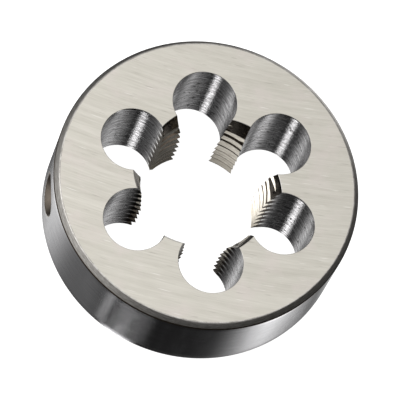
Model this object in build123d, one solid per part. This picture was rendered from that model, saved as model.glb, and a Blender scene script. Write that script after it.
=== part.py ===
from build123d import *
import os
from math import ceil, radians, tan

# A solid round die, in millimetres. The thread runs along Z, the back face lies on Z = 0
# and the entry face, where the rod goes in, looks up. The first clearance hole is on +X.

# The disc
outside_diameter = 50.0
thickness = 16.0
entry_bevel_width = 0.8  # across the entry face
entry_bevel_depth = 1.0  # down the rim
back_bevel = 0.6

# The thread that the lands carry: right-hand, 7/8 in, 14 to the inch
thread_diameter = 22.225
pitch = 25.4 / 14
flank_angle = 30.0  # each flank against a plane across the axis
root_flat = 0.227
back_crest_flat = 0.12  # the crests are almost sharp at the back
lead_crest_flat = 0.66  # and ground down a little toward the entry
thread_turn = 18.0  # how far round the axis a groove crosses the back face

# The clearance holes, which break into the bore and leave the lands between them
hole_count = 6
hole_diameter = 10.6
hole_reach = 1.34  # how far inside the crests each hole reaches

# The entry side of each land: a lead cone turned about a centre of its own, set aside toward
# the land's heel, so that only the cutting edge touches the rod
lead_mouth_clearance = 1.0  # the cone's mouth outside the thread, all round
lead_half_angle = 25.0
relief_offset = 2.0

# The back end of the bore
back_mouth_bevel = 0.5  # outside the crests
back_half_angle = 25.0

# The dimples in the rim that the holder's screws press into
dimple_count = 2
dimple_diameter = 7.6
dimple_half_angle = 45.0
dimple_turn = 210.0
dimple_overcut = 1.0  # how far the dimple's cutter stands outside the rim

outside_radius = outside_diameter / 2
root_radius = thread_diameter / 2
hole_step = 360 / hole_count
land_turn = hole_step / 2

# The groove is a triangle with a flat root. Its flanks would meet in a sharp root outside and,
# one turn against the next, in a sharp crest inside.
flank_slope = tan(radians(flank_angle))
sharp_root_radius = root_radius + root_flat / 2 / flank_slope
sharp_crest_radius = sharp_root_radius - pitch / 2 / flank_slope
back_crest_radius = sharp_crest_radius + back_crest_flat / 2 / flank_slope
lead_crest_radius = sharp_crest_radius + lead_crest_flat / 2 / flank_slope
hole_circle_radius = back_crest_radius - hole_reach + hole_diameter / 2

# The cones at both ends of the bore, from their mouths to where they meet the crests
lead_mouth_radius = root_radius + lead_mouth_clearance
lead_depth = (lead_mouth_radius - lead_crest_radius) / tan(radians(lead_half_angle))
back_mouth_radius = back_crest_radius + back_mouth_bevel
back_depth = back_mouth_bevel / tan(radians(back_half_angle))


def make_disc():
    """The turned blank: a disc with a bevel round each face."""
    profile = Polyline(
        (0, 0),
        (outside_radius - back_bevel, 0),
        (outside_radius, back_bevel),
        (outside_radius, thickness - entry_bevel_depth),
        (outside_radius - entry_bevel_width, thickness),
        (0, thickness),
        close=True,
    )
    return revolve(Plane.YZ * make_face(profile), Axis.Z)


def make_bore():
    """What the bore takes away: the back cone, then the line of the crests up to the entry."""
    crest_rise = (lead_crest_radius - back_crest_radius) / (thickness - lead_depth - back_depth)
    profile = Polyline(
        (0, 0),
        (back_mouth_radius, 0),
        (back_crest_radius, back_depth),
        (lead_crest_radius + crest_rise * lead_depth, thickness),
        (0, thickness),
        close=True,
    )
    return revolve(Plane.XZ * make_face(profile), Axis.Z)


def make_holes():
    """The clearance holes, right through."""
    hole = extrude(Circle(hole_diameter / 2), thickness)
    return [place * hole for place in PolarLocations(hole_circle_radius, hole_count)]


def make_lead_cones():
    """One relieved lead cone for each land, cut off at the middle of the holes beside it."""
    width = 2 * hole_circle_radius * tan(radians(land_turn))
    point_depth = lead_mouth_radius / tan(radians(lead_half_angle))
    cone = Cone(0, lead_mouth_radius, point_depth, align=(Align.CENTER, Align.CENTER, Align.MAX))
    sector = Box(outside_radius, width, 2 * thickness, align=(Align.MIN, Align.CENTER, Align.CENTER))
    cut = Pos(0, 0, thickness) * (Pos(0, -relief_offset, 0) * cone & sector)
    return [Rot(0, 0, land_turn + hole_step * land) * cut for land in range(hole_count)]


def make_groove():
    """One stretch of the thread's groove, across a land and out into the holes beside it."""
    inner_radius = sharp_crest_radius + back_crest_flat / 4 / flank_slope
    inner_half = (sharp_root_radius - inner_radius) * flank_slope
    stretch = (hole_step + land_turn) / 2
    rise = pitch * stretch / 360
    section = Polyline(
        (root_radius, -root_flat / 2),
        (root_radius, root_flat / 2),
        (inner_radius, inner_half),
        (inner_radius, -inner_half),
        close=True,
    )
    path = Helix(pitch, rise, root_radius)
    groove = sweep(Plane.XZ * make_face(section), path, is_frenet=True)
    return Pos(0, 0, -rise / 2) * Rot(0, 0, -stretch / 2) * groove


def make_thread():
    """The groove's stretches on every land, each one step up the same helix."""
    groove = make_groove()
    turns = ceil(thickness / pitch) + 2
    stretches = []
    for land in range(hole_count):
        angle = land_turn + hole_step * land
        first = pitch * ((angle - thread_turn) / 360 % 1 - 1)
        for turn in range(turns):
            stretches.append(Pos(0, 0, first + pitch * turn) * Rot(0, 0, angle) * groove)
    return stretches


def make_dimples():
    """Cone-shaped dimples halfway up the rim, evenly round it."""
    depth = dimple_diameter / 2 / tan(radians(dimple_half_angle))
    mouth_radius = dimple_diameter / 2 * (depth + dimple_overcut) / depth
    cone = Cone(0, mouth_radius, depth + dimple_overcut, align=(Align.CENTER, Align.CENTER, Align.MIN))
    seat = Pos(outside_radius - depth, 0, thickness / 2) * Rot(0, 90, 0) * cone
    step = 360 / dimple_count
    return [Rot(0, 0, dimple_turn + step * dimple) * seat for dimple in range(dimple_count)]


blank = make_disc() - make_bore() - make_holes()
die = blank - make_lead_cones() - make_dimples() - make_thread()
die.label = "threading_die"

os.makedirs("parts", exist_ok=True)
export_step(die, "parts/threading_die.step")
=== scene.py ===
from math import cos, pi, radians, sin, tan

import bmesh
import bpy
import numpy as np
from mathutils import Matrix, Vector


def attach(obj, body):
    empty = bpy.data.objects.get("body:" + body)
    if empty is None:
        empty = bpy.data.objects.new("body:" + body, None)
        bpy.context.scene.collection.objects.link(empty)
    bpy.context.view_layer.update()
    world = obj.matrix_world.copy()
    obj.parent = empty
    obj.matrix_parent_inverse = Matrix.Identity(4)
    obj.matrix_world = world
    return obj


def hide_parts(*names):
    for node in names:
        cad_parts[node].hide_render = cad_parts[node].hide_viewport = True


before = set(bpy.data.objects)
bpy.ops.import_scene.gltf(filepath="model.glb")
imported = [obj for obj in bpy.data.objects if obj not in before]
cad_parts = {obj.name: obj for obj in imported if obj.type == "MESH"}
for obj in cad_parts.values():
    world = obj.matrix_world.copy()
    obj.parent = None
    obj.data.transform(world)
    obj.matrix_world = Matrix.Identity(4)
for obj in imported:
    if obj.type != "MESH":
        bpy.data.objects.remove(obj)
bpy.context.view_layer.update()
print("frame loaded, solids:", len(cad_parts))

mm = 0.001
toMm = 1000  # Object coordinates are in metres, and patterns in millimetres

# the die, in millimetres and degrees, as all sizes below are
die = {
    "outsideDiameter": 50.0,
    "thickness": 16.0,
    "entryBevelWidth": 0.8,
    "entryBevelDepth": 1.0,
    "backBevel": 0.6,
    "edgeRound": 0.19,  # how far the stoned edges are broken
    "holeEdgeRound": 0.08,  # the same where the holes and lands meet the faces
}

thread = {
    "diameter": 22.225,
    "pitch": 25.4 / 14,  # fourteen to the inch
    "flankAngle": 30.0,
    "rootFlat": 0.227,
    "backCrestFlat": 0.16,
    "crestTaperStart": 7.6,  # above the back, where the crests begin to be ground off
    "crestTaper": 0.13,  # how fast the bore then widens
    "startTurn": 18.0,  # how far round the axis a groove crosses the back face
    "mouthClearance": 1.0,  # the lead cones' mouth outside the thread
    "leadAngle": 25.0,
    "reliefOffset": 2.0,  # how far each lead cone's centre stands aside from the axis
    "backMouth": 0.5,  # the back cone's mouth outside the crests
    "backAngle": 25.0,
    "flareStart": 12.2,  # above the back, where the tap ran out and began to deepen the grooves
    "flare": 0.125,  # how fast it did
    "flareTurn": 10.0,  # the side it ran out to, and how far round it cut
    "flareReach": 34.0,
    "flareElsewhere": 0.2,  # the share of it that the far side has
}

holes = {
    "count": 6,
    "diameter": 10.6,
    "circleDiameter": 27.6,
}

dimple = {
    "diameter": 7.6,
    "turns": (210.0, 30.0),
    "edgeRound": 0.16,
}

mesh = {
    "holeColumns": 42,
    "landColumns": 18,
    "rimColumns": 360,
    "edgeRows": 3,  # over the broken edge of a hole or land
    "roundRows": 4,  # over the broken edge of a bevel
    "windowCells": 26,  # the square of rim cells that a dimple takes up
    "windowRings": 6,  # round a dimple: on the rim, over its edge and down its cone
    "dimpleEdgeRings": 5,
    "coneRings": 9,
    "leastFlank": 0.01,  # how narrow a flank and half a crest may become
    "leastCrest": 0.02,
    "leastGroove": 0.004,  # what is cut less deep than this counts as bare bore
    "leastLead": 0.01,  # and what is wider than the crests by this is the lead cone
    "bevelSlack": 0.02,  # how near to a bevel's end a row still belongs to it
    "placeRounds": 8,  # rounds in which a place that depends on itself is found
    "junctionRounds": 16,
    "junctionStart": 0.35,  # radians from a hole's middle, where the search for its junction begins
    "mergeReach": 0.002,
    "sharpAngle": 32.0,
}

# the finish of each part of the surface, by the number of its material slot
skin = {"face": 0, "bevel": 1, "rim": 2, "hole": 3, "thread": 4, "dimple": 5, "lead": 6, "crest": 7}

slope = tan(radians(thread["flankAngle"]))
outsideRadius = die["outsideDiameter"] / 2
rootRadius = thread["diameter"] / 2
sharpRoot = rootRadius + thread["rootFlat"] / 2 / slope
sharpCrest = sharpRoot - thread["pitch"] / 2 / slope
backCrest = sharpCrest + thread["backCrestFlat"] / 2 / slope
holeRadius = holes["diameter"] / 2
holeCircle = holes["circleDiameter"] / 2
holeStep = 2 * pi / holes["count"]
leadMouth = rootRadius + thread["mouthClearance"]
leadTan = tan(radians(thread["leadAngle"]))
backTan = tan(radians(thread["backAngle"]))


def crestRadius(z):
    # the line of the crests: straight at the back, then slowly wider toward the entry
    return backCrest + thread["crestTaper"] * np.maximum(z - thread["crestTaperStart"], 0)


def boreRadius(turn, z):
    # the bore before its thread is cut: the widest of the crest line, the back cone and the
    # land's lead cone, whose centre stands aside from the axis by the relief
    land = np.floor(turn / holeStep)
    aside = turn - (land + 0.5) * holeStep
    back = backCrest + thread["backMouth"] - z * backTan
    cone = np.maximum(leadMouth - (die["thickness"] - z) * leadTan, 0)
    offset = thread["reliefOffset"]
    reach = np.maximum(cone ** 2 - (offset * np.cos(aside)) ** 2, 0)
    lead = np.where(reach > 0, np.sqrt(reach) - offset * np.sin(aside), 0)
    return np.maximum(np.maximum(crestRadius(z), back), lead)


def grooveCentre(turn, groove):
    # height of one groove: the helix climbs a pitch each turn
    return thread["pitch"] * ((turn - radians(thread["startTurn"])) / (2 * pi) + groove)


def flare(turn, z):
    # how much deeper the grooves are toward the entry, fading round the bore as
    # e to the power -a2 / 2, a the angle from the flare's middle measured in its reach
    away = (turn - radians(thread["flareTurn"]) + pi) % (2 * pi) - pi
    fade = np.exp(-(away / radians(thread["flareReach"])) ** 2 / 2)
    least = thread["flareElsewhere"]
    return thread["flare"] * np.maximum(z - thread["flareStart"], 0) * (least + (1 - least) * fade)


def landRadius(turn, z):
    # the bore, or the groove where that is deeper: a flat root between two 60 degree flanks
    lift = z - grooveCentre(turn, 0)
    drop = np.abs(lift - thread["pitch"] * np.round(lift / thread["pitch"]))
    groove = np.minimum(rootRadius, sharpRoot - drop / slope) + flare(turn, z)
    return np.maximum(boreRadius(turn, z), groove)


def rowHeight(turn, groove, side, part):
    # height of a row of the grid that follows one edge of a groove round the helix:
    # part 0 is the root's edge, 1 the crest's edge, 2 the middle of the crest
    halfRoot = thread["rootFlat"] / 2
    halfPitch = thread["pitch"] / 2
    centre = grooveCentre(turn, groove)
    z = centre + side * halfPitch / 2
    for _ in range(mesh["placeRounds"]):
        edge = np.clip((sharpRoot + flare(turn, z) - boreRadius(turn, z)) * slope,
                       halfRoot + mesh["leastFlank"], halfPitch - mesh["leastCrest"])
        out = np.where(part > 1, halfPitch, halfRoot + np.minimum(part, 1) * (edge - halfRoot))
        z = centre + side * out
    return z


def junctionTurn(hole, end, rows):
    # the angle where a row leaves the land and enters a hole: the land's radius r and the hole's
    # circle meet where cos a = (r2 + p2 - h2) / 2rp, h the hole's radius, p that of its circle
    turn = hole * holeStep + end * mesh["junctionStart"]
    h = holeRadius + rows["open"]
    for _ in range(mesh["junctionRounds"]):
        z = rows["height"](turn)
        r = landRadius(turn, z) + rows["open"]
        cosine = (r ** 2 + holeCircle ** 2 - h ** 2) / (2 * r * holeCircle)
        turn = hole * holeStep + end * np.arccos(cosine)
    return turn, r, z


def wallRows():
    # every row of the inner wall: the helical ones, cut off at both faces, then a quarter round
    # of a few rows out to each face; there are more grooves than fit, for every turn of the helix
    grooves = range(-2, int(die["thickness"] / thread["pitch"]) + 4)
    steps = [(-1, 1.0), (-1, 0.5), (-1, 0.0), (1, 0.0), (1, 0.5), (1, 1.0), (1, 2.0)]
    table = np.array([(g, s, p) for g in grooves for s, p in steps], float)
    e = die["holeEdgeRound"]
    n = mesh["edgeRows"]
    arc = np.radians(np.linspace(0, 90, n + 1)[1:])
    low = np.column_stack([e - e * np.sin(arc[::-1]), e - e * np.cos(arc[::-1])])
    high = np.column_stack([die["thickness"] - e + e * np.sin(arc), e - e * np.cos(arc)])
    count = len(table) + 2 * n
    opened = np.zeros((count, 1))
    opened[:n, 0], opened[-n:, 0] = low[:, 1], high[:, 1]

    def height(turn):
        turn = np.broadcast_to(turn, (count, np.shape(turn)[-1] if np.ndim(turn) else 1))
        z = np.empty(turn.shape)
        g, s, p = (table[:, i, None] for i in range(3))
        z[n:-n] = np.clip(rowHeight(turn[n:-n], g, s, p), e, die["thickness"] - e)
        z[:n], z[-n:] = low[:, :1], high[:, :1]
        return z

    return {"height": height, "open": opened}


def gridFaces(rows, columns):
    # quads between neighbouring rows and columns of a grid of points
    a = np.arange((rows - 1) * columns).reshape(rows - 1, columns)[:, :-1]
    return np.stack([a, a + 1, a + columns + 1, a + columns], -1).reshape(-1, 4)


def innerWall():
    # holes and lands in turn, each with its grid, its unrolled map and the skin of its cells: a
    # hole is an arc round its own centre between its two junctions, a land is its radius at each
    # angle and height between the next two
    rows = wallRows()
    strips = []
    for hole in range(holes["count"]):
        turnA, rA, zA = junctionTurn(hole, -1, rows)
        turnB, rB, zB = junctionTurn(hole, 1, rows)
        turnC = junctionTurn(hole + 1, -1, rows)[0]
        u = np.linspace(0, 1, mesh["holeColumns"] + 1)
        middle = hole * holeStep
        spinA = np.arctan2(rA * np.sin(turnA - middle), rA * np.cos(turnA - middle) - holeCircle)
        spinB = np.arctan2(rB * np.sin(turnB - middle), rB * np.cos(turnB - middle) - holeCircle)
        spin = spinA + (spinB - spinA) * u
        h = holeRadius + rows["open"]
        x = holeCircle + h * np.cos(spin)
        y = h * np.sin(spin)
        z = zA + (zB - zA) * u
        points = np.stack([x * cos(middle) - y * sin(middle), x * sin(middle) + y * cos(middle), z], -1)
        strips.append((points, np.stack([h * spin, z], -1), np.full((len(z) - 1, len(u) - 1), skin["hole"])))

        v = np.linspace(0, 1, mesh["landColumns"] + 1)
        turn = turnB + (turnC - turnB) * v
        z = rows["height"](turn)
        r = landRadius(turn, z) + rows["open"]
        points = np.stack([r * np.cos(turn), r * np.sin(turn), z], -1)
        flat = np.stack([r * turn, z], -1)
        # cells of the bore that no groove has cut: crests, and the lead cone above them
        turn = (turn[:, 1:] + turn[:, :-1])[1:] / 2 + 0 * z[1:, 1:]
        z = (z[1:, 1:] + z[:-1, 1:] + z[1:, :-1] + z[:-1, :-1]) / 4
        bore = boreRadius(turn, z)
        bare = landRadius(turn, z) < bore + mesh["leastGroove"]
        uncut = np.where(bore > crestRadius(z) + mesh["leastLead"], skin["lead"], skin["crest"])
        strips.append((points, flat, np.where(bare, uncut, skin["thread"])))
    return strips


def roundedLine(corners, breaks):
    # a polyline with each inside corner broken by a quadratic curve that starts and ends a small
    # distance from it
    corners = np.array(corners, float)
    t = np.linspace(0, 1, mesh["roundRows"] + 1)[:, None]
    line = [corners[:1]]
    for i in range(1, len(corners) - 1):
        before = corners[i - 1] - corners[i]
        after = corners[i + 1] - corners[i]
        a = corners[i] + before / np.linalg.norm(before) * breaks
        c = corners[i] + after / np.linalg.norm(after) * breaks
        line.append((1 - t) ** 2 * a + 2 * t * (1 - t) * corners[i] + t ** 2 * c)
    return np.concatenate(line + [corners[-1:]])


def rimWall():
    # the outside, turned round the axis from the back face to the entry face; the rows from first
    # on run past the dimples' windows
    radius, bevel, e = outsideRadius, die["backBevel"], die["edgeRound"]
    inner = radius - die["entryBevelWidth"]
    half = mesh["windowCells"] * pi * radius / mesh["rimColumns"]
    middle = die["thickness"] / 2
    back = roundedLine([(radius - bevel - e, 0), (radius - bevel, 0), (radius, bevel),
                        (radius, middle - half)], e)[1:]
    entry = roundedLine([(radius, middle + half), (radius, die["thickness"] - die["entryBevelDepth"]),
                         (inner, die["thickness"]), (inner - e, die["thickness"])], e)[:-1]
    z = np.linspace(middle - half, middle + half, mesh["windowCells"] + 1)[1:-1]
    line = np.concatenate([back, np.column_stack([np.full(len(z), radius), z]), entry])
    turn = np.radians(np.linspace(0, 360, mesh["rimColumns"] + 1))
    r, z = line[:, :1], line[:, 1:]
    points = np.stack([r * np.cos(turn), r * np.sin(turn), z + 0 * turn], -1)
    flat = np.stack(np.broadcast_arrays(turn * radius, z), -1)
    return points, flat, len(back) - 1


def rimSkin(z):
    # bevel up to the back bevel's end and from the entry bevel's on, ground rim between them, and
    # on the rounded edge under the entry bevel the dark crest finish, as a painted shade line
    shoulder = die["thickness"] - die["entryBevelDepth"]
    slack = mesh["bevelSlack"]
    onBevel = (z[:-1] < die["backBevel"] + slack) | (z[:-1] >= shoulder - slack)
    rows = np.where(onBevel, skin["bevel"], skin["rim"])
    # painted shade: the rows round the edge where rim and entry bevel meet take the dark crest finish
    rows[np.abs((z[1:] + z[:-1]) / 2 - shoulder) < die["edgeRound"]] = skin["crest"]
    return rows


def dimplePatch(turn):
    # spokes from the square window's edge in to the dimple's rim, over a small round and down
    # the cone to its point; each spoke keeps the direction of its place on the square
    radius = outsideRadius
    n = mesh["windowCells"]
    side = np.linspace(-1, 1, n + 1)[:-1]
    one = 0 * side + 1
    square = np.concatenate([np.column_stack([side, -one]), np.column_stack([one, side]),
                             np.column_stack([-side, one]), np.column_stack([-one, -side])])
    square = np.concatenate([square, square[:1]])
    half = n * pi * radius / mesh["rimColumns"]
    direction = square / np.linalg.norm(square, axis=1)[:, None]
    e = dimple["edgeRound"]
    depth = dimple["diameter"] / 2
    tip = radius - depth
    rim = np.full(len(square), depth)
    for _ in range(mesh["placeRounds"]):
        rim = np.sqrt(radius ** 2 - (rim * direction[:, 0]) ** 2) - tip
    w = np.linspace(1, 0, mesh["windowRings"])[:, None, None]
    edge = direction * (rim + e)[:, None]
    outer = edge * (1 - w) + square * half * w  # across the cylinder, flat before it is wrapped
    angle = outer[..., 0] / radius
    wrapped = np.stack([radius * np.cos(angle), radius * np.sin(angle), outer[..., 1]], -1)
    end = np.column_stack([tip + (rim - e), direction * (rim - e)[:, None]])
    corner = np.column_stack([tip + rim, direction * rim[:, None]])
    t = np.linspace(0, 1, mesh["dimpleEdgeRings"] + 1)[1:, None, None]
    rounding = (1 - t) ** 2 * wrapped[-1] + 2 * t * (1 - t) * corner + t ** 2 * end
    down = np.linspace(1, 0, mesh["coneRings"] + 1)[1:, None]
    cone = np.stack([tip + (rim - e) * down, direction[:, 0] * (rim - e) * down,
                     direction[:, 1] * (rim - e) * down], -1)
    points = np.concatenate([wrapped, rounding, cone])
    points[..., 2] += die["thickness"] / 2
    c, s = cos(radians(turn)), sin(radians(turn))
    x, y = points[..., 0].copy(), points[..., 1].copy()
    points[..., 0], points[..., 1] = x * c - y * s, x * s + y * c
    return points


def dieSurfaces():
    # all grids of the die, and its two flat faces, as points, quads, polygons, skins and maps
    points, quads, polygons, skins, maps = [], [], [], [], []

    def add(grid, flat, kind, keep=None):
        cells = gridFaces(*grid.shape[:2])
        kind = np.broadcast_to(kind, (grid.shape[0] - 1, grid.shape[1] - 1)).reshape(-1)
        if keep is not None:
            cells, kind = cells[keep.reshape(-1)], kind[keep.reshape(-1)]
        quads.append(cells + sum(len(p) for p in points))
        points.append(grid.reshape(-1, 3))
        skins.append(kind)
        maps.append(flat.reshape(-1, 2))

    # inner wall, with its broken edges at both faces
    strips = innerWall()
    n = mesh["edgeRows"]
    for grid, flat, kind in strips:
        kind[:n] = kind[-n:] = skin["bevel"]
        add(grid[:, ::-1], flat[:, ::-1], kind[:, ::-1])

    # outside, with windows for the dimples
    rim, flat, first = rimWall()
    n = mesh["windowCells"]
    cells = np.ones((rim.shape[0] - 1, rim.shape[1] - 1), bool)
    for turn in dimple["turns"]:
        c = int(round(turn * mesh["rimColumns"] / 360))
        cells[first:first + n, c - n // 2:c + n // 2] = False
    add(rim, flat, rimSkin(flat[:, 0, 1])[:, None], cells)

    # dimples; the rim's own map goes on round them
    for turn in dimple["turns"]:
        patch = dimplePatch(turn)[::-1]
        around = np.arctan2(patch[..., 1], patch[..., 0]) % (2 * pi) * outsideRadius
        kind = np.full((len(patch) - 1, 1), skin["dimple"])
        kind[1 - mesh["windowRings"]:] = skin["rim"]
        add(patch, np.stack([around, patch[..., 2]], -1), kind)

    # flat faces, each in six sectors that meet along the middles of the lands
    half = mesh["landColumns"] // 2
    perHole = mesh["rimColumns"] // holes["count"]
    for row in (0, -1):
        for hole in range(holes["count"]):
            before, arc, after = (strips[(2 * hole + i) % len(strips)][0][row] for i in (-1, 0, 1))
            inside = np.concatenate([before[half:-1], arc[:-1], after[:half + 1]])
            spots = np.arange(-perHole // 2, perHole // 2 + 1) + hole * perHole
            outside = rim[row][spots % mesh["rimColumns"]]
            loop = np.concatenate([outside, inside[::-1]])
            if row == 0:
                loop = loop[::-1]
            polygons.append(np.arange(len(loop)) + sum(len(p) for p in points))
            points.append(loop)
            maps.append(loop[:, :2])
    skins.append(np.full(len(polygons), skin["face"]))
    return (np.concatenate(points) * mm, np.concatenate(quads), polygons, np.concatenate(skins),
            np.concatenate(maps))


def buildDie():
    # one closed mesh, merged along its seams
    vertices, quads, polygons, skins, maps = dieSurfaces()
    corners = np.concatenate([quads.reshape(-1)] + polygons)
    sizes = np.concatenate([np.full(len(quads), 4), [len(p) for p in polygons]])
    starts = np.concatenate([[0], np.cumsum(sizes)[:-1]])
    data = bpy.data.meshes.new("threadingDie")
    data.vertices.add(len(vertices))
    data.vertices.foreach_set("co", vertices.reshape(-1))
    data.loops.add(len(corners))
    data.loops.foreach_set("vertex_index", corners.astype(np.int32))
    data.polygons.add(len(sizes))
    data.polygons.foreach_set("loop_start", starts.astype(np.int32))
    data.polygons.foreach_set("loop_total", sizes.astype(np.int32))
    data.polygons.foreach_set("material_index", skins.astype(np.int32))
    layer = data.uv_layers.new(name="unrolled")
    layer.data.foreach_set("uv", maps[corners].reshape(-1))
    data.update(calc_edges=True)
    data.validate()

    work = bmesh.new()
    work.from_mesh(data)
    bmesh.ops.remove_doubles(work, verts=work.verts, dist=mesh["mergeReach"] * mm)
    bmesh.ops.dissolve_degenerate(work, edges=work.edges, dist=mesh["mergeReach"] / 2 * mm)
    bmesh.ops.recalc_face_normals(work, faces=work.faces)
    print("open edges:", sum(1 for e in work.edges if len(e.link_faces) != 2),
          "volume mm3:", round(work.calc_volume() * 1e9, 1), "faces:", len(work.faces))
    work.to_mesh(data)
    work.free()
    data.shade_smooth()
    data.set_sharp_from_angle(angle=radians(mesh["sharpAngle"]))
    slots = np.zeros(len(data.polygons), np.int32)
    data.polygons.foreach_get("material_index", slots)
    data.polygons.foreach_set("use_smooth", slots != skin["face"])  # the ground faces are dead flat
    piece = bpy.data.objects.new("threadingDie", data)
    bpy.context.collection.objects.link(piece)
    return piece


piece = buildDie()
print("die built:", len(piece.data.polygons), "faces")


def linearColour(code):
    # sRGB hex to the linear colour that shaders take
    value = [int(code[i:i + 2], 16) / 255 for i in (1, 3, 5)]
    return tuple(v / 12.92 if v <= 0.04045 else ((v + 0.055) / 1.055) ** 2.4 for v in value) + (1.0,)


def addNode(tree, kind, settings=None, inputs=None):
    # one node with its settings, its values and its links: a link is (node, output)
    node = tree.nodes.new(kind)
    for key, value in (settings or {}).items():
        setattr(node, key, value)
    for key, value in (inputs or {}).items():
        if isinstance(value, tuple) and len(value) == 2 and hasattr(value[0], "outputs"):
            tree.links.new(value[0].outputs[value[1]], node.inputs[key])
        else:
            node.inputs[key].default_value = value
    return node


def newMetal(name, roughness):
    # an empty metal: the shader waits for its colour, roughness and bump
    material = bpy.data.materials.new(name)
    material.use_nodes = True
    tree = material.node_tree
    tree.nodes.clear()
    shader = addNode(tree, "ShaderNodeBsdfPrincipled", None, {"Metallic": 1.0, "Roughness": roughness})
    addNode(tree, "ShaderNodeOutputMaterial", None, {"Surface": (shader, 0)})
    return material, tree, shader


def toolLines(tree, finish, detail, rough, bend=0.0):
    # noise drawn out on the unrolled surface: a line is as wide and as long as the finish says
    where = addNode(tree, "ShaderNodeUVMap", {"uv_map": "unrolled"})
    point = addNode(tree, "ShaderNodeMapping", None, {
        "Vector": (where, 0), "Scale": (1 / finish["lineLength"], 1 / finish["line"], 1)})
    return addNode(tree, "ShaderNodeTexNoise", None, {
        "Vector": (point, 0), "Scale": 1.0, "Detail": detail, "Roughness": rough, "Distortion": bend})


def twoTone(tree, factor, low, high, finish):
    # the finish's dark colour where the factor is low, its light colour where it is high
    tone = addNode(tree, "ShaderNodeMapRange", None, {"Value": factor, "From Min": low, "From Max": high})
    return addNode(tree, "ShaderNodeMix", {"data_type": "RGBA"}, {
        0: (tone, 0), 6: linearColour(finish["dark"]), 7: linearColour(finish["light"])})


def dressMetal(tree, shader, colour, relief, depth):
    # the colour, and the relief with its depth in millimetres, go into the shader
    bump = addNode(tree, "ShaderNodeBump", None, {
        "Height": relief, "Strength": 1.0, "Distance": depth * mm})
    tree.links.new(colour.outputs[2], shader.inputs["Base Color"])
    tree.links.new(bump.outputs[0], shader.inputs["Normal"])


groundFace = {
    "light": "#E3DFD5",
    "dark": "#CCC8BD",
    "scratch": "#A8A39A",
    "glint": "#F4F1EB",
    "warm": "#E3D9D4",
    "roughness": 0.33,
    "paintedFalloff": 0.87,  # painted shade: what the far side of the face keeps of its brightness, a lamp's fall-off in the colour
    "paintedFalloffSide": 40.0,
    "arcCentre": (-50.7, 156.0),  # the middle of the grinding wheel's sweep
    # width and length of the marks, their detail, and where in the noise they lie; a scratch is a
    # few times as wide as 46 grit leaves it, so that it shows
    "marks": {
        "fine": (0.22, 5.0, 3.0, 4.0),
        "bands": (0.9, 26.0, 2.0, 9.0),
        "deep": (0.242, 3.5, 1.0, 21.0),
        "glints": (0.264, 4.0, 1.0, 37.0),
    },
    "fineShare": 0.55,  # how much fine marks and bands each say in the tone
    "bandShare": 0.5,
    "mottle": 4.5,
    "warmMost": 0.45,  # the most that each takes over from the tone
    "scratchMost": 0.6,
    "glintMost": 0.7,
    "depth": 0.006,
}


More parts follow.
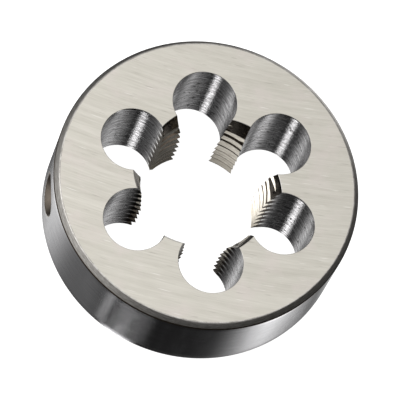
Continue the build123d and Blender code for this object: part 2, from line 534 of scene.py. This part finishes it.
def groundFaceSteel():
    # hardened tool steel, surface ground: satin, with fine scratches in long shallow arcs that run
    # straight across holes and lands, and slow bands where the wheel was dressed
    material, tree, shader = newMetal("groundFaceSteel", groundFace["roughness"])
    where = addNode(tree, "ShaderNodeTexCoord")
    x, y = groundFace["arcCentre"]
    point = addNode(tree, "ShaderNodeMapping", None, {
        "Vector": (where, "Object"), "Location": (-x, -y, 0), "Scale": (toMm, toMm, 0)})
    part = addNode(tree, "ShaderNodeSeparateXYZ", None, {0: (point, 0)})
    across = addNode(tree, "ShaderNodeVectorMath", {"operation": "LENGTH"}, {0: (point, 0)})
    angle = addNode(tree, "ShaderNodeMath", {"operation": "ARCTAN2"}, {0: (part, 1), 1: (part, 0)})
    sweep = float(np.hypot(x, y))

    def marks(width, length, detail, seed):
        # noise over the distance from the sweep's middle and the way round it, in mark sizes
        u = addNode(tree, "ShaderNodeMath", {"operation": "MULTIPLY"}, {0: (across, "Value"), 1: 1 / width})
        v = addNode(tree, "ShaderNodeMath", {"operation": "MULTIPLY_ADD"}, {
            0: (angle, 0), 1: sweep / length, 2: seed})
        pair = addNode(tree, "ShaderNodeCombineXYZ", None, {0: (u, 0), 1: (v, 0), 2: seed})
        return addNode(tree, "ShaderNodeTexNoise", None, {
            "Vector": (pair, 0), "Scale": 1.0, "Detail": detail, "Roughness": 0.6})

    mark = {name: marks(*sizes) for name, sizes in groundFace["marks"].items()}
    tone = addNode(tree, "ShaderNodeMapRange", None, {
        "Value": (mark["fine"], "Fac"), "From Min": 0.3, "From Max": 0.7})
    slow = addNode(tree, "ShaderNodeMapRange", None, {
        "Value": (mark["bands"], "Fac"), "From Min": 0.32, "From Max": 0.68})
    share = addNode(tree, "ShaderNodeMath", {"operation": "MULTIPLY"}, {
        0: (tone, 0), 1: groundFace["fineShare"]})
    both = addNode(tree, "ShaderNodeMath", {"operation": "MULTIPLY_ADD", "use_clamp": True}, {
        0: (slow, 0), 1: groundFace["bandShare"], 2: (share, 0)})
    ground = addNode(tree, "ShaderNodeMix", {"data_type": "RGBA"}, {
        0: (both, 0), 6: linearColour(groundFace["dark"]), 7: linearColour(groundFace["light"])})

    # warm patches, then darker scratches, painted shade falling across the face toward 40 degrees, and
    # painted glints over all
    mottle = addNode(tree, "ShaderNodeTexNoise", None, {
        "Vector": (point, 0), "Scale": 1 / groundFace["mottle"], "Detail": 3.0, "Roughness": 0.6})
    blush = addNode(tree, "ShaderNodeMapRange", None, {
        "Value": (mottle, "Fac"), "From Min": 0.5, "From Max": 0.7, "To Max": groundFace["warmMost"]})
    warm = addNode(tree, "ShaderNodeMix", {"data_type": "RGBA"}, {
        0: (blush, 0), 6: (ground, 2), 7: linearColour(groundFace["warm"])})
    lines = addNode(tree, "ShaderNodeMapRange", None, {
        "Value": (mark["deep"], "Fac"), "From Min": 0.68, "From Max": 0.78,
        "To Max": groundFace["scratchMost"]})
    marked = addNode(tree, "ShaderNodeMix", {"data_type": "RGBA"}, {
        0: (lines, 0), 6: (warm, 2), 7: linearColour(groundFace["scratch"])})
    # painted shade: the colour falls to the given share across the disc toward 40 degrees, for the lamp's
    # fall-off
    side = radians(groundFace["paintedFalloffSide"])
    reach = addNode(tree, "ShaderNodeVectorMath", {"operation": "DOT_PRODUCT"}, {
        0: (where, "Object"), 1: (cos(side), sin(side), 0)})
    fall = addNode(tree, "ShaderNodeMapRange", None, {
        "Value": (reach, "Value"), "From Min": -outsideRadius * mm, "From Max": outsideRadius * mm,
        "To Min": 1.0, "To Max": groundFace["paintedFalloff"]})
    shaded = addNode(tree, "ShaderNodeMix", {"data_type": "RGBA", "blend_type": "MULTIPLY"}, {
        0: 1.0, 6: (marked, 2), 7: (fall, 0)})
    # painted glints: bright streaks along the marks stand in for highlights
    bright = addNode(tree, "ShaderNodeMapRange", None, {
        "Value": (mark["glints"], "Fac"), "From Min": 0.68, "From Max": 0.78,
        "To Max": groundFace["glintMost"]})
    colour = addNode(tree, "ShaderNodeMix", {"data_type": "RGBA"}, {
        0: (bright, 0), 6: (shaded, 2), 7: linearColour(groundFace["glint"])})
    relief = addNode(tree, "ShaderNodeMath", {"operation": "SUBTRACT"}, {
        0: (mark["fine"], "Fac"), 1: (lines, 0)})
    dressMetal(tree, shader, colour, (relief, 0), groundFace["depth"])
    return material


turnedBevel = {
    "light": "#D6D3CE",
    "dark": "#A29E98",
    "roughness": 0.30,
    "line": 0.15,  # the feed of the turning tool
    "lineLength": 1.2,
    "depth": 0.005,
}


def turnedBevelSteel():
    # the same steel as it was turned before hardening, with grey scale left in the tool's lines
    material, tree, shader = newMetal("turnedBevelSteel", turnedBevel["roughness"])
    lines = toolLines(tree, turnedBevel, 4.0, 0.7)
    colour = twoTone(tree, (lines, "Fac"), 0.36, 0.64, turnedBevel)
    dressMetal(tree, shader, colour, (lines, "Fac"), turnedBevel["depth"])
    return material


groundRim = {
    "light": "#C6C5C6",
    "dark": "#A6A5A8",
    "smooth": 0.11,
    "rough": 0.19,
    "line": 0.12,  # grinding lines round the rim, drawn coarser than they are so that they show
    "lineLength": 6.0,
    "blotch": 2.2,  # cloudy patches, drawn tall: heights count at this share
    "blotchRise": 0.18,
    "depth": 0.0007,
}


def groundRimSteel():
    # hardened tool steel, ground between centres and a little oily: cool grey, nearly smooth, with
    # faint lines round the rim and cloudy patches that catch the light
    material, tree, shader = newMetal("groundRimSteel", groundRim["smooth"])
    lines = toolLines(tree, groundRim, 2.0, 0.5)
    colour = twoTone(tree, (lines, "Fac"), 0.3, 0.7, groundRim)
    place = addNode(tree, "ShaderNodeTexCoord")
    spread = addNode(tree, "ShaderNodeMapping", None, {
        "Vector": (place, "Object"), "Scale": (toMm, toMm, toMm * groundRim["blotchRise"])})
    cloud = addNode(tree, "ShaderNodeTexNoise", None, {
        "Vector": (spread, 0), "Scale": 1 / groundRim["blotch"], "Detail": 5.0, "Roughness": 0.65})
    haze = addNode(tree, "ShaderNodeMapRange", None, {
        "Value": (cloud, "Fac"), "From Min": 0.38, "From Max": 0.62,
        "To Min": groundRim["smooth"], "To Max": groundRim["rough"]})
    tree.links.new(haze.outputs[0], shader.inputs["Roughness"])
    dressMetal(tree, shader, colour, (lines, "Fac"), groundRim["depth"])
    return material


drilledHole = {
    "light": "#D8D7D8",
    "dark": "#4E4B4B",
    "pit": "#1E1C1A",
    "smooth": 0.10,
    "rough": 0.21,
    "line": 0.32,  # the reamer's marks, drawn twice as coarse so that they show
    "lineLength": 2.4,
    "blotch": 0.34,
    "torn": 2.2,  # how much deeper blotches go than lines
    "pitSize": 0.7,  # the spots that the reamer tore and oil stays in
    "pitMost": 0.9,
    "depth": 0.0085,
    # painted shade: the near black of the teeth's cutting faces
    "face": "#2A2724",
    "shadedFaceTint": "#D3D0CC",  # painted shade too: a specular tint that dims the cutting faces' shine at a glancing angle
    "faceStart": 11.1,  # from the axis, inside which the wall is the teeth's cutting face
    "faceEnd": 12.3,
    "burrHighlight": "#FFFDFA",  # painted highlight: bright stripes on the bare metal dragged out beside each groove
}


def drilledHoleSteel():
    # drilled and reamed, then hardened and never polished: dark graphite, with feed marks round the
    # wall and torn spots, painted shade near black on the teeth's cutting faces, painted highlights on burrs
    material, tree, shader = newMetal("drilledHoleSteel", drilledHole["smooth"])
    lines = toolLines(tree, drilledHole, 3.0, 0.6, 0.3)
    steel = twoTone(tree, (lines, "Fac"), 0.3, 0.7, drilledHole)
    where = addNode(tree, "ShaderNodeUVMap", {"uv_map": "unrolled"})
    spot = addNode(tree, "ShaderNodeMapping", None, {
        "Vector": (where, 0), "Scale": (1 / drilledHole["blotch"],) * 3})
    cloud = addNode(tree, "ShaderNodeTexNoise", None, {
        "Vector": (spot, 0), "Scale": 1.0, "Detail": 4.0, "Roughness": 0.7})
    place = addNode(tree, "ShaderNodeTexCoord")
    patches = addNode(tree, "ShaderNodeTexNoise", None, {
        "Vector": (place, "Object"), "Scale": toMm / drilledHole["pitSize"],
        "Detail": 1.0, "Roughness": 0.5})
    pits = addNode(tree, "ShaderNodeMapRange", None, {
        "Value": (patches, "Fac"), "From Min": 0.65, "From Max": 0.70, "To Max": drilledHole["pitMost"]})
    wall = addNode(tree, "ShaderNodeMix", {"data_type": "RGBA"}, {
        0: (pits, 0), 6: (steel, 2), 7: linearColour(drilledHole["pit"])})

    # the painted burr highlights follow the helix: the cosine of the height in turns of the thread, less the
    # angle
    part = addNode(tree, "ShaderNodeSeparateXYZ", None, {0: (place, "Object")})
    turn = addNode(tree, "ShaderNodeMath", {"operation": "ARCTAN2"}, {0: (part, 1), 1: (part, 0)})
    climb = addNode(tree, "ShaderNodeMath", {"operation": "MULTIPLY_ADD"}, {
        0: (part, 2), 1: 2 * pi / (thread["pitch"] * mm), 2: radians(thread["startTurn"])})
    phase = addNode(tree, "ShaderNodeMath", {"operation": "SUBTRACT"}, {0: (climb, 0), 1: (turn, 0)})
    wave = addNode(tree, "ShaderNodeMath", {"operation": "COSINE"}, {0: (phase, 0)})
    burrHighlight = addNode(tree, "ShaderNodeMapRange", None, {
        "Value": (wave, 0), "From Min": 0.45, "From Max": 0.85})
    cut = addNode(tree, "ShaderNodeMix", {"data_type": "RGBA"}, {
        0: (burrHighlight, 0), 6: linearColour(drilledHole["face"]), 7: linearColour(drilledHole["burrHighlight"])})

    # near the axis the wall turns into the cutting face, painted near black as shade but for the burr
    # highlights
    level = addNode(tree, "ShaderNodeMapping", None, {
        "Vector": (place, "Object"), "Scale": (toMm, toMm, 0)})
    out = addNode(tree, "ShaderNodeVectorMath", {"operation": "LENGTH"}, {0: (level, 0)})
    near = addNode(tree, "ShaderNodeMapRange", {"interpolation_type": "SMOOTHSTEP"}, {
        "Value": (out, "Value"), "From Min": drilledHole["faceStart"], "From Max": drilledHole["faceEnd"],
        "To Min": 1.0, "To Max": 0.0})
    colour = addNode(tree, "ShaderNodeMix", {"data_type": "RGBA"}, {
        0: (near, 0), 6: (wall, 2), 7: (cut, 2)})
    # painted shade: the specular tint dims the cutting faces' shine, but not on the burrs
    bare = addNode(tree, "ShaderNodeMath", {"operation": "SUBTRACT", "use_clamp": True}, {
        0: (near, 0), 1: (burrHighlight, 0)})
    edge = addNode(tree, "ShaderNodeMix", {"data_type": "RGBA"}, {
        0: (bare, 0), 6: (1.0, 1.0, 1.0, 1.0), 7: linearColour(drilledHole["shadedFaceTint"])})
    haze = addNode(tree, "ShaderNodeMapRange", None, {
        "Value": (cloud, "Fac"), "From Min": 0.45, "From Max": 0.7,
        "To Min": drilledHole["smooth"], "To Max": drilledHole["rough"]})
    relief = addNode(tree, "ShaderNodeMath", {"operation": "MULTIPLY_ADD"}, {
        0: (cloud, "Fac"), 1: drilledHole["torn"], 2: (lines, "Fac")})
    tree.links.new(edge.outputs[2], shader.inputs["Specular Tint"])
    tree.links.new(haze.outputs[0], shader.inputs["Roughness"])
    dressMetal(tree, shader, colour, (relief, 0), drilledHole["depth"])
    return material


cutThread = {
    "light": "#E5DFD4",
    "dark": "#B7B0A3",
    # painted shade in the roots
    "root": "#3A3632",
    "low": "#A09A8E",
    "roughness": 0.2,
    "rootStart": 10.85,  # from the axis, where the painted shade in the roots begins
    "rootEnd": 11.1,
    "mouth": 12.0,  # above the back, from which on the roots are no longer painted dark
    "mouthEnd": 13.5,
    "lowStart": 8.0,  # above the back, below which the flanks turn darker and green-grey
    "lowMost": 0.8,
    "line": 0.16,  # lines along the cut
    "lineLength": 1.4,
    "lineTall": 2.0,
    "depth": 0.0012,
}


def cutThreadSteel():
    # threads cut by a tap before hardening: bright and warm, lines along the cut, painted shade in the
    # roots, and darker green-grey flanks toward the back
    material, tree, shader = newMetal("cutThreadSteel", cutThread["roughness"])
    place = addNode(tree, "ShaderNodeTexCoord")
    point = addNode(tree, "ShaderNodeMapping", None, {
        "Vector": (place, "Object"), "Scale": (toMm, toMm, toMm)})
    part = addNode(tree, "ShaderNodeSeparateXYZ", None, {0: (point, 0)})
    level = addNode(tree, "ShaderNodeCombineXYZ", None, {0: (part, 0), 1: (part, 1), 2: 0.0})
    out = addNode(tree, "ShaderNodeVectorMath", {"operation": "LENGTH"}, {0: (level, 0)})

    # noise over the way round the bore, the distance from the axis and the height
    where = addNode(tree, "ShaderNodeUVMap", {"uv_map": "unrolled"})
    along = addNode(tree, "ShaderNodeSeparateXYZ", None, {0: (where, 0)})
    u = addNode(tree, "ShaderNodeMath", {"operation": "MULTIPLY"}, {
        0: (along, 0), 1: 1 / cutThread["lineLength"]})
    v = addNode(tree, "ShaderNodeMath", {"operation": "MULTIPLY"}, {
        0: (out, "Value"), 1: 1 / cutThread["line"]})
    w = addNode(tree, "ShaderNodeMath", {"operation": "MULTIPLY"}, {
        0: (part, 2), 1: 1 / cutThread["lineTall"]})
    cut = addNode(tree, "ShaderNodeCombineXYZ", None, {0: (u, 0), 1: (v, 0), 2: (w, 0)})
    lines = addNode(tree, "ShaderNodeTexNoise", None, {
        "Vector": (cut, 0), "Scale": 1.0, "Detail": 3.0, "Roughness": 0.6})
    bright = twoTone(tree, (lines, "Fac"), 0.3, 0.65, cutThread)

    # darker green-grey flanks toward the back, then the painted shade in the roots
    deep = addNode(tree, "ShaderNodeMapRange", None, {
        "Value": (part, 2), "From Min": 0.0, "From Max": cutThread["lowStart"],
        "To Min": cutThread["lowMost"], "To Max": 0.0})
    lowTone = addNode(tree, "ShaderNodeMix", {"data_type": "RGBA"}, {
        0: (deep, 0), 6: (bright, 2), 7: linearColour(cutThread["low"])})
    root = addNode(tree, "ShaderNodeMapRange", None, {
        "Value": (out, "Value"), "From Min": cutThread["rootStart"], "From Max": cutThread["rootEnd"]})
    high = addNode(tree, "ShaderNodeMapRange", None, {
        "Value": (part, 2), "From Min": cutThread["mouth"], "From Max": cutThread["mouthEnd"],
        "To Min": 1.0, "To Max": 0.0})
    rootShade = addNode(tree, "ShaderNodeMath", {"operation": "MULTIPLY", "use_clamp": True}, {
        0: (root, 0), 1: (high, 0)})
    colour = addNode(tree, "ShaderNodeMix", {"data_type": "RGBA"}, {
        0: (rootShade, 0), 6: (lowTone, 2), 7: linearColour(cutThread["root"])})
    dressMetal(tree, shader, colour, (lines, "Fac"), cutThread["depth"])
    return material


groundLead = {
    "light": "#D2CABE",
    "dark": "#A79E92",
    "roughness": 0.13,
    "line": 0.14,  # the lines the relief grinding leaves round the cone
    "lineLength": 2.2,
    "depth": 0.004,
}


def groundLeadSteel():
    # the lead cones, relief ground after hardening: smooth, so what they face shows dark or white
    material, tree, shader = newMetal("groundLeadSteel", groundLead["roughness"])
    lines = toolLines(tree, groundLead, 2.0, 0.6)
    colour = twoTone(tree, (lines, "Fac"), 0.35, 0.65, groundLead)
    dressMetal(tree, shader, colour, (lines, "Fac"), groundLead["depth"])
    return material


darkCrest = {
    "light": "#7A6D60",
    "dark": "#463D35",
    "edge": "#D0CCC8",  # a specular tint that dims the shine at a glancing angle
    "roughness": 0.34,
    "grain": 0.5,
}


def darkCrestSteel():
    # the bore that the tap never touched, left dark brown-black along the crests; also the painted
    # shade line under the entry bevel
    material, tree, shader = newMetal("darkCrestSteel", darkCrest["roughness"])
    place = addNode(tree, "ShaderNodeTexCoord")
    cloud = addNode(tree, "ShaderNodeTexNoise", None, {
        "Vector": (place, "Object"), "Scale": toMm / darkCrest["grain"],
        "Detail": 2.0, "Roughness": 0.6})
    colour = twoTone(tree, (cloud, "Fac"), 0.0, 1.0, darkCrest)
    shader.inputs["Specular Tint"].default_value = linearColour(darkCrest["edge"])
    tree.links.new(colour.outputs[2], shader.inputs["Base Color"])
    return material


drilledDimple = {
    "light": "#A2968A",
    "dark": "#6B635B",
    "roughness": 0.34,
    "blotch": 0.8,
    "depth": 0.006,
}


def drilledDimpleSteel():
    # drilled before hardening and left as it came, with a brown tint from the furnace
    material, tree, shader = newMetal("drilledDimpleSteel", drilledDimple["roughness"])
    place = addNode(tree, "ShaderNodeTexCoord")
    cloud = addNode(tree, "ShaderNodeTexNoise", None, {
        "Vector": (place, "Object"), "Scale": toMm / drilledDimple["blotch"],
        "Detail": 4.0, "Roughness": 0.6})
    colour = twoTone(tree, (cloud, "Fac"), 0.0, 1.0, drilledDimple)
    dressMetal(tree, shader, colour, (cloud, "Fac"), drilledDimple["depth"])
    return material


# in the order of the skin's numbers
for finish in (groundFaceSteel, turnedBevelSteel, groundRimSteel, drilledHoleSteel, cutThreadSteel,
               drilledDimpleSteel, groundLeadSteel, darkCrestSteel):
    piece.data.materials.append(finish())
print("finishes made:", len(piece.data.materials))

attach(piece, "root")
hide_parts("threading_die")

paleFloor = {
    "half": 2.0,  # metres from the die to its edge
    "drop": 0.1,  # below the die's back
    "colour": "#D9D9D9",
    "roughness": 0.9,
    "glow": 0.95,  # its own light, which makes it as pale as the studio round it
}


def floorPlane():
    # one square under the die, left out of the metal's reflections so that they show the light table
    s, z = paleFloor["half"], -paleFloor["drop"] * mm
    data = bpy.data.meshes.new("paleFloor")
    data.from_pydata([(-s, -s, z), (s, -s, z), (s, s, z), (-s, s, z)], [], [(0, 1, 2, 3)])
    floor = bpy.data.objects.new("paleFloor", data)
    bpy.context.collection.objects.link(floor)
    material = bpy.data.materials.new("paleFloorPaper")
    material.use_nodes = True
    shader = material.node_tree.nodes["Principled BSDF"]
    shader.inputs["Base Color"].default_value = linearColour(paleFloor["colour"])
    shader.inputs["Roughness"].default_value = paleFloor["roughness"]
    shader.inputs["Emission Color"].default_value = (1, 1, 1, 1)
    shader.inputs["Emission Strength"].default_value = paleFloor["glow"]
    data.materials.append(material)
    floor.visible_glossy = False
    floor.visible_shadow = False
    return floor


floor = floorPlane()

lightTable = {
    "drop": 148.0,  # below the die's back
    "radius": 135.0,
    "corners": 64,
    "base": 0.018,
    # middle x and y, spread x and y, strength
    "spots": {
        "left": (-123, 4, 26, 33, 2.6),
        "leftNear": (-45, 14, 14, 18, 1.0),
        "right": (115, 2, 25, 22, 2.7),
        "rightNear": (29, 10, 15, 25, 1.1),
        "frontLeft": (-60, -70, 26, 20, 0.17),
        "backRight": (55, 75, 25, 10, 0.8),
        "rightFar": (70, 38, 14, 10, 0.2),
        "backLeft": (-58, 108, 22, 14, 1.3),
        "behind": (-3, 84, 14, 17, 1.1),
    },
    # the same with firmer edges: half widths in place of spreads
    "slots": {
        "streak": (-9.0, -56, 12.5, 14, 3.2),
        "streakEdge": (-31, -88, 5, 14, 0.42),
        "streakMiddle": (-10, -92, 9, 14, 0.26),
        "streakEnd": (9, -92, 9, 14, 0.14),
    },
}


def buildLightTable():
    # a round sheet of soft light under the floor, seen only in the metal: spots that fade as
    # e to the power -(a2 + b2) / 2, and slots with firmer edges, e to the power -(a4 + b4), with
    # a and b the distances from the middle in x and y, measured in spreads or half widths
    count = lightTable["corners"]
    turn = np.linspace(0, 2 * pi, count, endpoint=False)
    r = lightTable["radius"]
    ring = np.stack([r * np.cos(turn), r * np.sin(turn), 0 * turn - lightTable["drop"]], -1) * mm
    data = bpy.data.meshes.new("lightTable")
    data.from_pydata(ring.tolist(), [], [list(range(count))])
    sheet = bpy.data.objects.new("lightTable", data)
    bpy.context.collection.objects.link(sheet)
    material = bpy.data.materials.new("softTableLight")
    material.use_nodes = True
    tree = material.node_tree
    tree.nodes.clear()
    where = addNode(tree, "ShaderNodeTexCoord")
    lights = [(spot, 2.0, -0.5) for spot in lightTable["spots"].values()]
    lights += [(slot, 4.0, -1.0) for slot in lightTable["slots"].values()]
    total = lightTable["base"]
    for (x, y, wide, deep, strength), power, sharp in lights:
        near = addNode(tree, "ShaderNodeMapping", None, {
            "Vector": (where, "Object"), "Location": (-x / wide, -y / deep, 0),
            "Scale": (toMm / wide, toMm / deep, 0)})
        part = addNode(tree, "ShaderNodeSeparateXYZ", None, {0: (near, 0)})
        away = []
        for axis in (0, 1):
            size = addNode(tree, "ShaderNodeMath", {"operation": "ABSOLUTE"}, {0: (part, axis)})
            away.append(addNode(tree, "ShaderNodeMath", {"operation": "POWER"}, {0: (size, 0), 1: power}))
        both = addNode(tree, "ShaderNodeMath", {"operation": "ADD"}, {0: (away[0], 0), 1: (away[1], 0)})
        fall = addNode(tree, "ShaderNodeMath", {"operation": "MULTIPLY"}, {0: (both, 0), 1: sharp})
        glow = addNode(tree, "ShaderNodeMath", {"operation": "EXPONENT"}, {0: (fall, 0)})
        total = (addNode(tree, "ShaderNodeMath", {"operation": "MULTIPLY_ADD"}, {
            0: (glow, 0), 1: strength, 2: total}), 0)
    light = addNode(tree, "ShaderNodeEmission", None, {"Strength": total})
    addNode(tree, "ShaderNodeOutputMaterial", None, {"Surface": (light, 0)})
    data.materials.append(material)
    for way in ("visible_camera", "visible_diffuse", "visible_shadow", "visible_transmission"):
        setattr(sheet, way, False)
    return sheet


buildLightTable()

studio = {
    "base": 0.05,
    "ceiling": (44, 57, 1.03),  # elevations where the ceiling begins and is full, its strength
    "lean": (175, 6),  # the azimuth it hangs lower toward, and by how much
    # azimuth of each light's middle and its spread, elevation and its spread, strength
    "lights": {
        "leftWindow": (196, 19, 42, 9, 2.6),
        "frontWindow": (312, 14, 33, 7, 0.8),
        "frontFill": (352, 30, 40, 12, 0.04),
        "farLow": (80, 10.5, -38, 12, 1.0),
        "farLeft": (202, 30, 8, 18, 0.66),
        "frontLeft": (238, 20, 8, 18, 0.30),
        "background": (100, 34, 22, 18, 0.75),
    },
}


def buildStudio():
    # white all round to the eye, and soft lights to everything else: a ceiling that leans, and
    # lights of e to the power (cos a - 1) / wide2 - b2 / 2, a the way round to the light's middle,
    # b its distance in elevation, measured in spreads
    world = bpy.data.worlds.new("softStudio")
    bpy.context.scene.world = world
    world.use_nodes = True
    tree = world.node_tree
    tree.nodes.clear()
    where = addNode(tree, "ShaderNodeTexCoord")
    part = addNode(tree, "ShaderNodeSeparateXYZ", None, {0: (where, "Generated")})
    level = addNode(tree, "ShaderNodeCombineXYZ", None, {0: (part, 0), 1: (part, 1), 2: 0.0})
    heading = addNode(tree, "ShaderNodeVectorMath", {"operation": "NORMALIZE"}, {0: (level, 0)})
    rise = addNode(tree, "ShaderNodeMath", {"operation": "ARCSINE"}, {0: (part, 2)})
    leanSide, lean = (radians(v) for v in studio["lean"])
    pole = (sin(lean) * cos(leanSide), sin(lean) * sin(leanSide), cos(lean))
    height = addNode(tree, "ShaderNodeVectorMath", {"operation": "DOT_PRODUCT"}, {
        0: (where, "Generated"), 1: pole})
    up = addNode(tree, "ShaderNodeMath", {"operation": "ARCSINE"}, {0: (height, "Value")})
    low, high, strength = studio["ceiling"]
    total = addNode(tree, "ShaderNodeMapRange", {"interpolation_type": "SMOOTHSTEP"}, {
        "Value": (up, 0), "From Min": radians(low), "From Max": radians(high),
        "To Min": studio["base"], "To Max": strength})
    for azimuth, wide, elevation, tall, strength in studio["lights"].values():
        towards = (cos(radians(azimuth)), sin(radians(azimuth)), 0)
        sharp = 1 / radians(wide) ** 2
        dot = addNode(tree, "ShaderNodeVectorMath", {"operation": "DOT_PRODUCT"}, {
            0: (heading, 0), 1: towards})
        aside = addNode(tree, "ShaderNodeMath", {"operation": "MULTIPLY_ADD"}, {
            0: (dot, "Value"), 1: sharp, 2: -sharp})
        off = addNode(tree, "ShaderNodeMath", {"operation": "MULTIPLY_ADD"}, {
            0: (rise, 0), 1: 1 / radians(tall), 2: -elevation / tall})
        square = addNode(tree, "ShaderNodeMath", {"operation": "MULTIPLY"}, {0: (off, 0), 1: (off, 0)})
        power = addNode(tree, "ShaderNodeMath", {"operation": "MULTIPLY_ADD"}, {
            0: (square, 0), 1: -0.5, 2: (aside, 0)})
        glow = addNode(tree, "ShaderNodeMath", {"operation": "EXPONENT"}, {0: (power, 0)})
        total = addNode(tree, "ShaderNodeMath", {"operation": "MULTIPLY_ADD"}, {
            0: (glow, 0), 1: strength, 2: (total, 0)})
    light = addNode(tree, "ShaderNodeBackground", None, {"Color": (1, 1, 1, 1), "Strength": (total, 0)})
    white = addNode(tree, "ShaderNodeBackground", None, {"Color": (1, 1, 1, 1), "Strength": 1.0})
    path = addNode(tree, "ShaderNodeLightPath")
    mix = addNode(tree, "ShaderNodeMixShader", None, {
        0: (path, "Is Camera Ray"), 1: (light, 0), 2: (white, 0)})
    addNode(tree, "ShaderNodeOutputWorld", None, {"Surface": (mix, 0)})


buildStudio()
print("studio lit:", len(studio["lights"]), "lights, table:",
      len(lightTable["spots"]) + len(lightTable["slots"]))

camera = {
    "target": (0.155, -0.154, 8.035),
    "distance": 614.41,
    "azimuth": 4.183,  # from the front, toward the right
    "elevation": 66.683,
    "roll": 25.694,
    "lens": 339.018,
    "nearest": 10.0,
}


def placeCamera():
    # the eye looks back along the azimuth and elevation at the target, then rolls about that line
    a, e, roll = (radians(camera[key]) for key in ("azimuth", "elevation", "roll"))
    back = Vector((sin(a) * cos(e), -cos(a) * cos(e), sin(e)))
    right = Vector((cos(a), sin(a), 0))
    up = back.cross(right)
    x = right * cos(roll) + up * sin(roll)
    y = up * cos(roll) - right * sin(roll)
    place = (Vector(camera["target"]) + back * camera["distance"]) * mm
    data = bpy.data.cameras.new("studioCamera")
    data.lens = camera["lens"]
    data.clip_start = camera["nearest"] * mm
    eye = bpy.data.objects.new("studioCamera", data)
    bpy.context.collection.objects.link(eye)
    turned = Matrix((x, y, back)).transposed().to_4x4()
    turned.translation = place
    eye.matrix_world = turned
    bpy.context.scene.camera = eye


placeCamera()
bpy.context.scene.view_settings.view_transform = "Standard"
print("camera placed")
